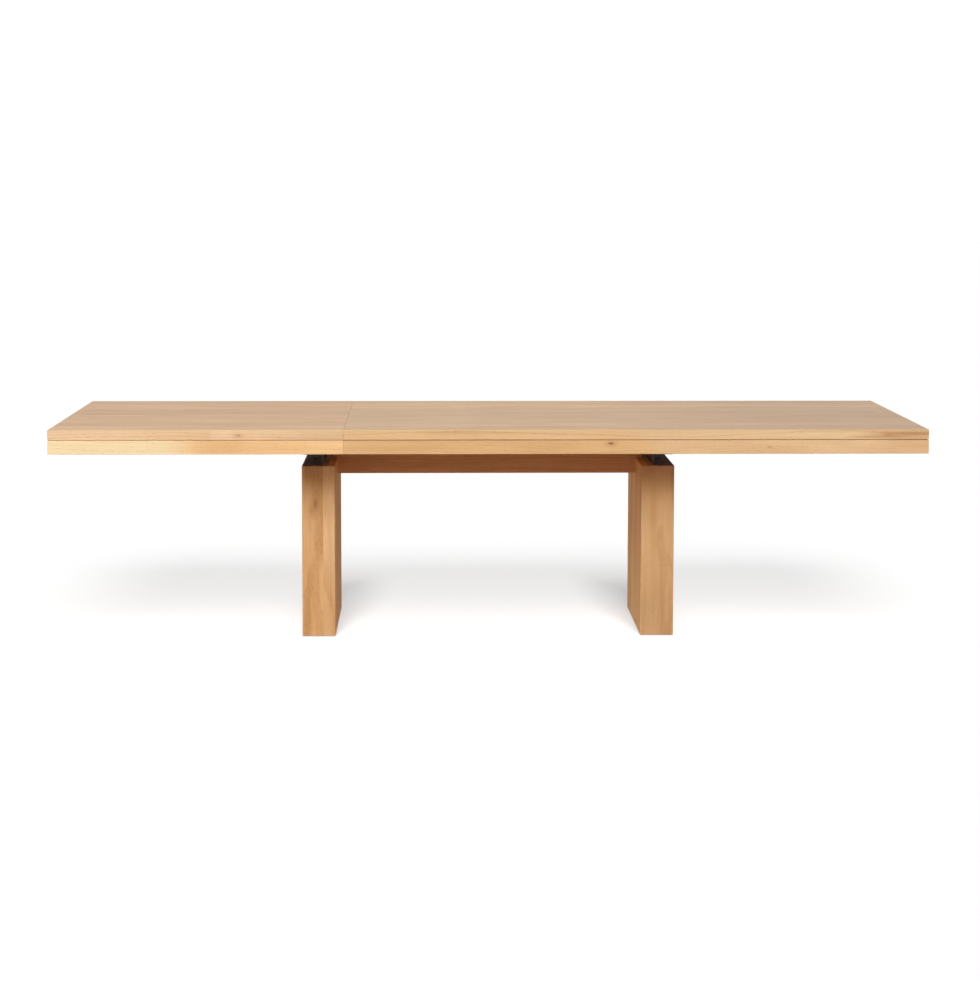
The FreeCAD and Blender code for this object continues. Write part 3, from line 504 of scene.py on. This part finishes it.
main_panel_oak = wood_finish(
    "main_panel_oak", "X", MAIN_EDGE, stave=PANEL_STAVE, seed=3.0, shine=0.4,
    knots=[(1.36, FRONT, 0.742, 0.004, 0.2, 0.2)],
    streaks=[(1.33, FRONT, 0.736, 0.0022, 0.045, 0.5),
             (1.43, FRONT, 0.746, 0.003, 0.05, 0.55),
             (0.0, FRONT, 0.75, 0.002, 0.02, 0.2)],
    drifts=[(0.4, 0.6, (1.02, 1.1, 1.2)),
            (1.2, 1.45, (0.83, 0.75, 0.69))],
    # Painted shade on the flat face.
    top_shade=MAIN_TOP_SHADE,
    top_drifts=[(-0.12, 0.02, (0.975, 0.97, 0.97)),
                (0.2, 1.3, (0.86, 0.85, 0.87))])
leaf_panel_oak = wood_finish(
    "leaf_panel_oak", "X", LEAF_EDGE, stave=PANEL_STAVE, seed=8.0, shine=0.35,
    knots=[(-0.855, FRONT, 0.741, 0.004, 0.3, 0.25)],
    # Painted light: the front part of the leaf is paler, where the light from the front is brightest.
    pale_band=(-0.497, -0.25, -2.0, -1.5, (1.07, 1.09, 1.06)),
    drifts=[(-1.1, -1.3, (1.04, 1.07, 1.14)),
            (-0.85, -0.6, (0.92, 0.92, 0.92)),
            (-0.955, -0.94, (1.05, 1.1, 1.18)),
            (-0.88, -0.87, (0.95, 0.91, 0.85))],
    # Painted shade on the flat face.
    top_shade=LEAF_TOP_SHADE)
main_apron_oak = wood_finish(
    "main_apron_oak", "X", MAIN_BAND, stave=WHOLE_BOARD, seed=5.0, rings=0.18,
    knots=[(0.412, FRONT, 0.713, 0.005, 0.7, 0.4),
           (0.955, FRONT, 0.70, 0.003, 0.3, 0.2)],
    drifts=[(0.5, 0.62, (1.06, 1.16, 1.35)),
            (1.25, 1.42, (0.94, 0.89, 0.86))])
leaf_apron_oak = wood_finish(
    "leaf_apron_oak", "X", LEAF_BAND, contrast=0.12, stave=WHOLE_BOARD, seed=9.0, rings=0.18,
    knots=[(-0.92, FRONT, 0.692, 0.016, 0.0, 0.14)],
    drifts=[(-0.96, -1.14, (1.07, 1.32, 1.6))])
cross_main_oak = wood_finish("cross_main_oak", "Y", MAIN_END, stave=WHOLE_BOARD, seed=6.0)
cross_leaf_oak = wood_finish("cross_leaf_oak", "Y", LEAF_END, contrast=0.12, stave=WHOLE_BOARD, seed=7.0)
print("panels and bands ready")

# %% [markdown]
# A leg is a box of four boards with the grain upright. The front of the left leg shows two staves, the right
# one paler, and a knot high on the left one. The sides of the legs and the beam lie in the shade of the top
# and shine less, so their wood is written with a lighter tone than the fronts to look alike. More light falls
# from the left, so the left front is paler than the right one, partly its own tone and partly painted light,
# and the sides of the right leg are paler than those of the left, which is painted light, most towards the
# foot. Each front is painted lighter over its upper part, where the shade of the top fades out, and changed
# in colour just under the top, which is painted shade. The right front also darkens a little towards the
# foot.

# %% Legs and beam

# More light falls from the left: the left front is paler than the right partly by its own tone and partly by
# painted light, and the right sides are paler than the left ones by painted light.
LEFT_LEG, RIGHT_LEG = (0.65, 0.385, 0.182), (0.56, 0.337, 0.162)
LEFT_SIDE, RIGHT_SIDE = (0.78, 0.465, 0.225), (0.88, 0.53, 0.26)
BEAM = (0.73, 0.40, 0.22)
LEG_FRONT = -0.263
SIDE_LOOK = {"stave": 0.105, "seed": 11.0, "rings": 0.3, "roughness": 0.65, "shine": 0.05}

left_leg_oak = wood_finish(
    "left_leg_oak", "Z_front", LEFT_LEG, contrast=0.2, stave=0.074, shift=0.5814, seed=2.0, shine=0.2,
    knots=[(0.472, -0.607, LEG_FRONT, 0.0085, 0.34, 0.42),
           (0.448, -0.622, LEG_FRONT, 0.006, 0.12, 0.25),
           (0.33, -0.606, LEG_FRONT, 0.004, 0.15, 0.2)],
    pale_band=(-0.5814, -0.5, 0.06, 0.42, (1.2, 1.3, 1.45)),
    # Painted light over the upper part, where the shade of the top fades out, and painted shade just under
    # the top.
    drifts=[(0.43, 0.5, (1.08, 1.08, 1.08)),
            (0.56, 0.6, (0.93, 0.95, 1.1))])
right_leg_oak = wood_finish(
    "right_leg_oak", "Z_front", RIGHT_LEG, contrast=0.2, stave=0.13, shift=-0.535, seed=4.0, shine=0.2,
    # Painted light over the upper part and painted shade just under the top; the front also darkens a little
    # towards the foot.
    drifts=[(0.41, 0.49, (1.11, 1.08, 1.05)),
            (0.56, 0.6, (0.9, 0.86, 1.05)),
            (0.22, 0.08, (0.92, 0.92, 0.93))])
left_side_oak = wood_finish("left_side_oak", "Z_side", LEFT_SIDE, **SIDE_LOOK)
# Painted light: the sides of the right leg grow paler towards the foot.
right_side_oak = wood_finish("right_side_oak", "Z_side", RIGHT_SIDE, drifts=[(0.4, 0.12, (1.08, 1.2, 1.25))],
                             **SIDE_LOOK)
beam_oak = wood_finish("beam_oak", "X", BEAM, stave=WHOLE_BOARD, seed=12.0, rings=0.25, roughness=0.6,
                       shine=0.1)
print("legs and beam ready")

# %% [markdown]
# Runners, guides, bearers, blocks and battens are beech: plainer and greyer than oak, with faint rings. The
# same function makes it, with low contrast, and only the direction of the grain differs.

# %% Hidden beech

BEECH = (0.56, 0.36, 0.2)
BEECH_LOOK = {"contrast": 0.1, "stave": WHOLE_BOARD, "rings": 0.2}

rail_beech = wood_finish("rail_beech", "X", BEECH, seed=13.0, **BEECH_LOOK)
block_beech = wood_finish("block_beech", "Z_front", BEECH, seed=14.0, **BEECH_LOOK)
batten_beech = wood_finish("batten_beech", "Y", BEECH, seed=15.0, **BEECH_LOOK)
print("beech:", [finish.name for finish in (rail_beech, block_beech, batten_beech)])

# %% [markdown]
# The slide hardware is folded steel with a black powder coat, which shows a fine orange peel and a few paler
# rub marks, and its own screws are black too. The other screws, pins and hooks are zinc plated: bright, a
# little yellow, with cloudy passivation. The glides and pads are dark nylon with the dull grain of a mould.

# %% Metal and plastic finishes

PEEL_SCALE, RUB_SCALES, RUB_SHARE = 900.0, (30.0, 8.0, 60.0), 0.35
ZINC_SCALE, SCRATCH_SCALES = 130.0, (900.0, 900.0, 60.0)
SPECK_SCALE, SCUFF_SCALE = 1400.0, 70.0


def give_surface(tree, shader, color, roughness, height, strength, distance):
    """Link a colour, a roughness and a bump to the shader."""
    tree.links.new(color, shader.inputs["Base Color"])
    tree.links.new(roughness, shader.inputs["Roughness"])
    relief = {"Strength": strength, "Distance": distance, "Height": height}
    tree.links.new(add_node(tree, "ShaderNodeBump", relief).outputs[0], shader.inputs["Normal"])


def powder_coat(name):
    material, tree, shader = new_finish(name)
    place = add_node(tree, "ShaderNodeTexCoord").outputs["Object"]
    peel = noise(tree, place, PEEL_SCALE, 2.0)
    rub = ramp(tree, stretched_noise(tree, place, RUB_SCALES, 4.0, 0.7), 0.62, 0.8)
    coat, rubbed = (0.12, 0.062, 0.056, 1.0), (0.18, 0.12, 0.106, 1.0)
    color = mix_colors(tree, math_node(tree, "MULTIPLY", rub, RUB_SHARE), coat, rubbed)
    roughness = ramp(tree, peel, 0.2, 0.8, 0.48, 0.62)
    give_surface(tree, shader, color, roughness, peel, strength=0.3, distance=0.0002)
    return material


def zinc_plate(name):
    material, tree, shader = new_finish(name)
    place = add_node(tree, "ShaderNodeTexCoord").outputs["Object"]
    cloud = noise(tree, place, ZINC_SCALE, 4.0)
    scratch = stretched_noise(tree, place, SCRATCH_SCALES, 2.0)
    clear, yellow = (0.56, 0.55, 0.52, 1.0), (0.66, 0.62, 0.52, 1.0)
    color = mix_colors(tree, ramp(tree, cloud, 0.35, 0.65), clear, yellow)
    shader.inputs["Metallic"].default_value = 1.0
    roughness = ramp(tree, cloud, 0.2, 0.8, 0.28, 0.46)
    give_surface(tree, shader, color, roughness, scratch, strength=0.15, distance=0.0001)
    return material


def moulded_nylon(name):
    material, tree, shader = new_finish(name)
    place = add_node(tree, "ShaderNodeTexCoord").outputs["Object"]
    speck = noise(tree, place, SPECK_SCALE, 2.0)
    wear = noise(tree, place, SCUFF_SCALE, 3.0)
    fresh, scuffed = (0.022, 0.022, 0.024, 1.0), (0.04, 0.039, 0.038, 1.0)
    color = mix_colors(tree, ramp(tree, wear, 0.4, 0.7), fresh, scuffed)
    roughness = ramp(tree, wear, 0.3, 0.7, 0.5, 0.66)
    give_surface(tree, shader, color, roughness, speck, strength=0.2, distance=0.0001)
    return material


black_steel = powder_coat("black_steel")
zinc_steel = zinc_plate("zinc_steel")
black_nylon = moulded_nylon("black_nylon")
print("metal and plastic finishes ready")

# %% [markdown]
# Every solid keeps the mesh it came with and only changes its finish. The list goes from the most particular
# names to the most general, and the first rule that fits a name wins.

# %% Give each piece its finish

RULES = [
    (("main_panel",), main_panel_oak),
    (("leaf_panel",), leaf_panel_oak),
    (("main_front_apron", "main_back_apron"), main_apron_oak),
    (("leaf_front_apron", "leaf_back_apron"), leaf_apron_oak),
    (("main_left_apron", "main_right_apron"), cross_main_oak),
    (("leaf_left_apron", "leaf_right_apron"), cross_leaf_oak),
    (("left_leg_front", "left_leg_back"), left_leg_oak),
    (("right_leg_front", "right_leg_back"), right_leg_oak),
    (("left_leg_inner", "left_leg_outer"), left_side_oak),
    (("right_leg_inner", "right_leg_outer"), right_side_oak),
    (("stretcher_beam",), beam_oak),
    (("corner_blocks",), block_beech),
    (("plug", "leaf_inner_batten", "leaf_outer_batten"), batten_beech),
    (("keeper_bolts", "channel_screws"), black_steel),
    (("screws", "bolts", "nuts", "pin", "pivots", "hook"), zinc_steel),
    (("channel", "keepers"), black_steel),
    (("pads", "glides"), black_nylon),
    (("",), rail_beech),
]


def dress(name, piece):
    """Put the finish that suits this name in every slot of the piece."""
    finish = next(material for words, material in RULES if any(word in name for word in words))
    for slot in piece.material_slots:
        slot.material = finish
    return finish.name


used = {}
for name, piece in frame["nodes"].items():
    used.setdefault(dress(name, piece), []).append(name)
for finish, names in sorted(used.items()):
    print(finish, len(names))

# %% [markdown]
# The floor is a wide pale plane. To the camera it is white where the lamps reach it and soft grey in the
# shadow, because most of its brightness comes from the lamps and a little is its own glow. In a gloss it
# glows more, so that the hardware and the oiled wood mirror a bright room. To the wood it is a warm floor
# that throws a little brown light back up, as the underside of the real table shows.

# %% Floor

FLOOR_SIZE = 60.0
FLOOR_GLOW, MIRRORED_GLOW = 0.13, 0.76
FLOOR_TINT = (0.38, 0.38, 0.38, 1.0)
FLOOR_BOUNCE = (0.5, 0.33, 0.19, 1.0)
WHITE = (1.0, 1.0, 1.0, 1.0)


def shown(tree, rays):
    """1 for a ray that shows the surface: from the camera, in a gloss or through glass."""
    mirrored = math_node(tree, "MAXIMUM", rays["Is Glossy Ray"], rays["Is Transmission Ray"])
    return math_node(tree, "MAXIMUM", rays["Is Camera Ray"], mirrored)


def floor_finish():
    material = bpy.data.materials.new("pale_floor")
    material.use_nodes = True
    tree = material.node_tree
    tree.nodes.clear()
    rays = add_node(tree, "ShaderNodeLightPath").outputs
    drop = math_node(tree, "MULTIPLY", rays["Is Camera Ray"], MIRRORED_GLOW - FLOOR_GLOW)
    strength = math_node(tree, "SUBTRACT", MIRRORED_GLOW, drop)
    glow = add_node(tree, "ShaderNodeEmission", {"Color": WHITE, "Strength": strength}).outputs[0]
    shade = add_node(tree, "ShaderNodeBsdfDiffuse", {"Color": FLOOR_TINT}).outputs[0]
    bounce = add_node(tree, "ShaderNodeBsdfDiffuse", {"Color": FLOOR_BOUNCE}).outputs[0]
    lit = add_node(tree, "ShaderNodeAddShader", {0: glow, 1: shade}).outputs[0]
    both = add_node(tree, "ShaderNodeMixShader", {0: shown(tree, rays), 1: bounce, 2: lit}).outputs[0]
    add_node(tree, "ShaderNodeOutputMaterial", {"Surface": both})
    return material


floor_mesh = bpy.data.meshes.new("floor")
shaping = bmesh.new()
bmesh.ops.create_grid(shaping, x_segments=1, y_segments=1, size=FLOOR_SIZE)
shaping.to_mesh(floor_mesh)
shaping.free()
floor_mesh.materials.append(floor_finish())
floor = bpy.data.objects.new("floor", floor_mesh)
bpy.context.scene.collection.objects.link(floor)
print("floor ready")

# %% [markdown]
# The light of a studio comes from all around: bright low down, dim overhead, less from the front and more
# from the left. Only the soft part of the shading sees this light, and a gloss on the wood mirrors plain
# white. Behind the table the camera sees white a little over the top of the scale, so that no horizon shows.

# %% Light from all around

SKY_LOW, SKY_FRONT, SKY_LEFT = 1.15, 0.6, 0.48
WHITE_MARGIN = 0.2


def sky_strength(tree):
    """Strength of the light from each direction."""
    parts = split(tree, add_node(tree, "ShaderNodeTexCoord").outputs["Generated"])
    dip = math_node(tree, "SUBTRACT", 1.0, math_node(tree, "MAXIMUM", parts[2], 0.0))
    level = math_node(tree, "MULTIPLY", math_node(tree, "MULTIPLY", dip, dip), SKY_LOW)
    lean = math_node(tree, "SUBTRACT", 1.0, math_node(tree, "MULTIPLY", parts[0], SKY_LEFT))
    ahead = math_node(tree, "MAXIMUM", math_node(tree, "MULTIPLY", parts[1], -1.0), 0.0)
    open_side = math_node(tree, "SUBTRACT", 1.0, math_node(tree, "MULTIPLY", ahead, SKY_FRONT))
    return math_node(tree, "MULTIPLY", math_node(tree, "MULTIPLY", level, lean), open_side)


def build_world():
    world = bpy.data.worlds.new("studio")
    bpy.context.scene.world = world
    world.use_nodes = True
    tree = world.node_tree
    tree.nodes.clear()
    rays = add_node(tree, "ShaderNodeLightPath").outputs
    clear = math_node(tree, "ADD", 1.0, math_node(tree, "MULTIPLY", rays["Is Camera Ray"], WHITE_MARGIN))
    fill = add_node(tree, "ShaderNodeBackground", {"Color": WHITE, "Strength": sky_strength(tree)}).outputs[0]
    plain = add_node(tree, "ShaderNodeBackground", {"Color": WHITE, "Strength": clear}).outputs[0]
    both = add_node(tree, "ShaderNodeMixShader", {0: shown(tree, rays), 1: fill, 2: plain}).outputs[0]
    add_node(tree, "ShaderNodeOutputWorld", {"Surface": both})
    return world


print("world:", build_world().name)

# %% [markdown]
# The photograph has one broad lamp in front of and above the table: the shadow falls behind it, and the upper
# part of the legs lies in the shade of the top. A sun lamp with a wide disc gives the same even, soft shadow.

# %% The front lamp

SUN_POWER = 2.7
SUN_HEIGHT, SUN_WIDTH = math.radians(39), math.radians(30)


def build_lamp(name, power, width, height, aside=0.0):
    """A sun lamp in front of the table that shines back and down, and a little aside."""
    lamp = bpy.data.lights.new(name, "SUN")
    lamp.energy = power
    lamp.angle = width
    sun = bpy.data.objects.new(name, lamp)
    level = math.cos(height)
    aim = Vector((math.sin(aside) * level, math.cos(aside) * level, -math.sin(height)))
    sun.rotation_euler = aim.to_track_quat("-Z", "Y").to_euler()
    bpy.context.scene.collection.objects.link(sun)
    return sun


print("lamp:", build_lamp("front_lamp", SUN_POWER, SUN_WIDTH, SUN_HEIGHT).name)

# %% [markdown]
# In the photograph a dark wedge lies on the floor beside each leg, on the inner side. One lamp can't throw
# two shadows that lean towards each other. So each leg has a lamp of its own, linked so that only the floor
# receives it and only that leg blocks it, and the light on the wood stays as it was.

# %% Lamps for the wedges beside the legs

LEG_LAMP_POWER = 3.8
LEG_LAMP_HEIGHT, LEG_LAMP_WIDTH = math.radians(43), math.radians(18)
LEG_LAMP_SIDES = {"left_leg": math.radians(5), "right_leg": math.radians(-5)}


def build_leg_lamp(leg, aside):
    sun = build_lamp(leg + "_lamp", LEG_LAMP_POWER, LEG_LAMP_WIDTH, LEG_LAMP_HEIGHT, aside)
    sun.data.cycles.max_bounces = 0
    receivers = bpy.data.collections.new(leg + "_lamp_lights")
    receivers.objects.link(floor)
    blockers = bpy.data.collections.new(leg + "_lamp_shades")
    for name, piece in frame["nodes"].items():
        if name.startswith(leg):
            blockers.objects.link(piece)
    sun.light_linking.receiver_collection = receivers
    sun.light_linking.blocker_collection = blockers
    return len(blockers.objects)


for leg, aside in LEG_LAMP_SIDES.items():
    print(leg, "lamp is blocked by", build_leg_lamp(leg, aside), "pieces")

# %% [markdown]
# The camera stands far off with a long lens, a little above the top. Its place, turn and focal length come
# from a fit to the corners of the table. The lens axis is a little above the middle of the picture, which is
# a shift in Blender, and the shift stays small so that the table keeps inside the frame in other views.

# %% Camera

CAMERA_PLACE = (-0.1962, -7.91007, 1.59683)
YAW, PITCH, ROLL = 0.02626, 0.08533, 0.00198
FOCAL_PIXELS, IMAGE_WIDTH, AXIS_RISE = 2194.05, 980, 120.0
SENSOR_WIDTH = 36.0


def build_camera():
    lens = bpy.data.cameras.new("photo_camera")
    lens.sensor_fit = "HORIZONTAL"
    lens.sensor_width = SENSOR_WIDTH
    lens.lens = FOCAL_PIXELS * SENSOR_WIDTH / IMAGE_WIDTH
    lens.shift_y = -AXIS_RISE / IMAGE_WIDTH
    camera = bpy.data.objects.new("photo_camera", lens)
    ahead = Vector((math.sin(YAW) * math.cos(PITCH), math.cos(YAW) * math.cos(PITCH), -math.sin(PITCH)))
    level = Vector((math.cos(YAW), -math.sin(YAW), 0.0))
    upright = level.cross(ahead)
    side = level * math.cos(ROLL) + upright * math.sin(ROLL)
    over = upright * math.cos(ROLL) - level * math.sin(ROLL)
    turn = Matrix((side, over, -ahead)).transposed().to_4x4()
    camera.matrix_world = Matrix.Translation(CAMERA_PLACE) @ turn
    bpy.context.scene.collection.objects.link(camera)
    bpy.context.scene.camera = camera
    return camera


camera = build_camera()
bpy.context.scene.view_settings.view_transform = "Standard"
print("lens", round(camera.data.lens, 2), "mm, shift", round(camera.data.shift_y, 4))
